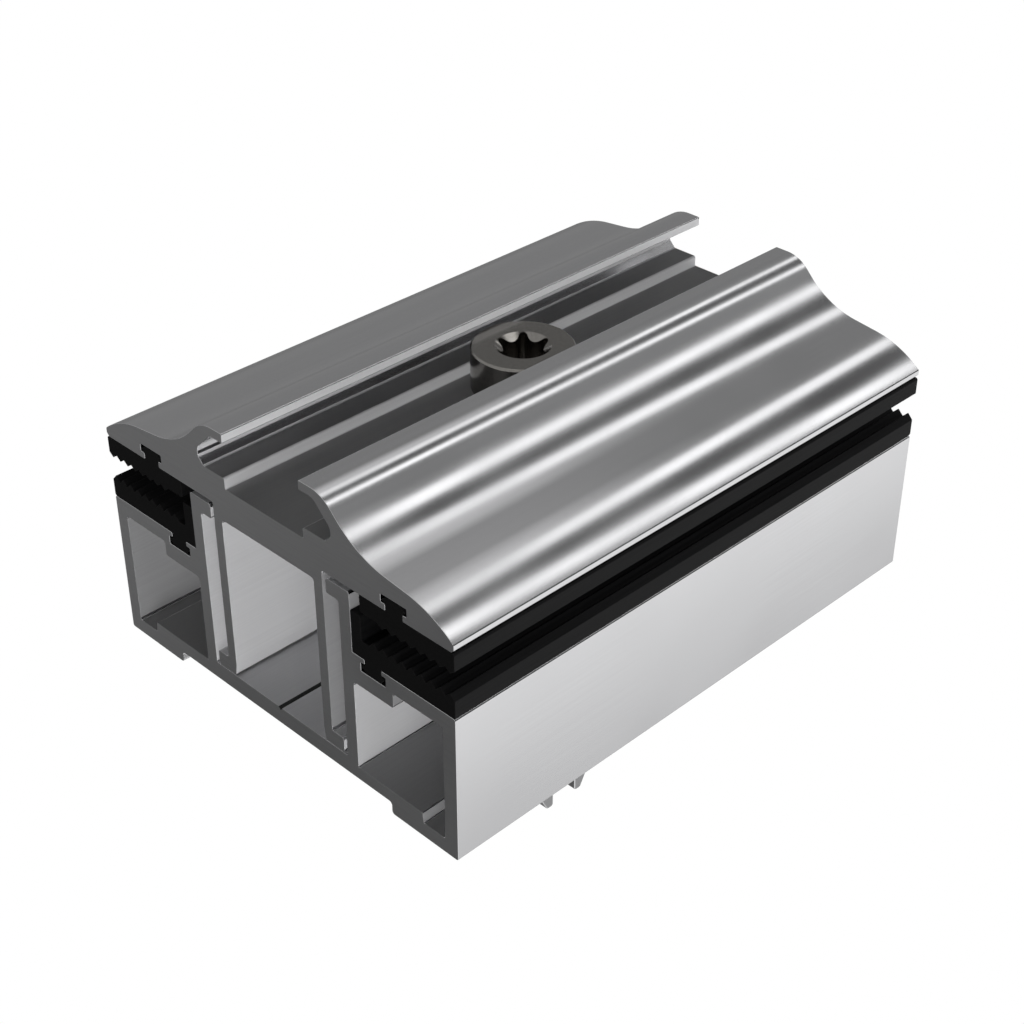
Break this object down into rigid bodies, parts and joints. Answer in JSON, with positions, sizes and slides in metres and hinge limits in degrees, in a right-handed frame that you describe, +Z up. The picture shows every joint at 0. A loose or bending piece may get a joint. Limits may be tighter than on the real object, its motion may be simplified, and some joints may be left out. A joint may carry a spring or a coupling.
{
  "type": "solar mid clamp",
  "caption": "Mid clamp for frameless solar modules: an upper and a lower aluminium extrusion with toothed rubber pads, drawn together by a socket screw and a click-in nut in the rail's slot.",
  "frame": {"origin": "where the screw's axis meets the rail's top, the plane on which the feet rest", "axes": "+Z up along the screw, +Y along the extrusions, +X across the clamp towards one of the modules"},
  "size_m": [0.06, 0.08, 0.0687],
  "materials": {
    "aluminium": "mill finish, satin, with fine lines along the extrusion",
    "rubber": "matt black EPDM",
    "dark_steel": "dark coated steel"
  },
  "bodies": {
    "base": {"lower_body": "aluminium", "pad_lower_right": "rubber", "pad_lower_left": "rubber"},
    "clamp_top": {"upper_clamp": "aluminium", "pad_upper_right": "rubber", "pad_upper_left": "rubber"},
    "screw": {"clamp_screw": "dark_steel"},
    "nut": {"slot_nut": "aluminium"}
  },
  "joints": [
    {"name": "clamp_lift", "type": "slide", "parent": "base", "child": "clamp_top", "axis": [0, 0, 1], "range_m": [0, 0.0075]},
    {"name": "screw_turn", "type": "hinge", "parent": "clamp_top", "child": "screw", "pos_m": [0, 0, 0.03115], "axis": [0, 0, 1], "range_deg": [-900, 1440]},
    {"name": "nut_travel", "type": "slide", "parent": "clamp_top", "child": "nut", "axis": [0, 0, -1], "range_m": [-0.0032, 0.0051]}
  ],
  "couplings": [
    {"joint": "nut_travel", "follows": "screw_turn", "m_per_rad": 0.00019894}
  ]
}
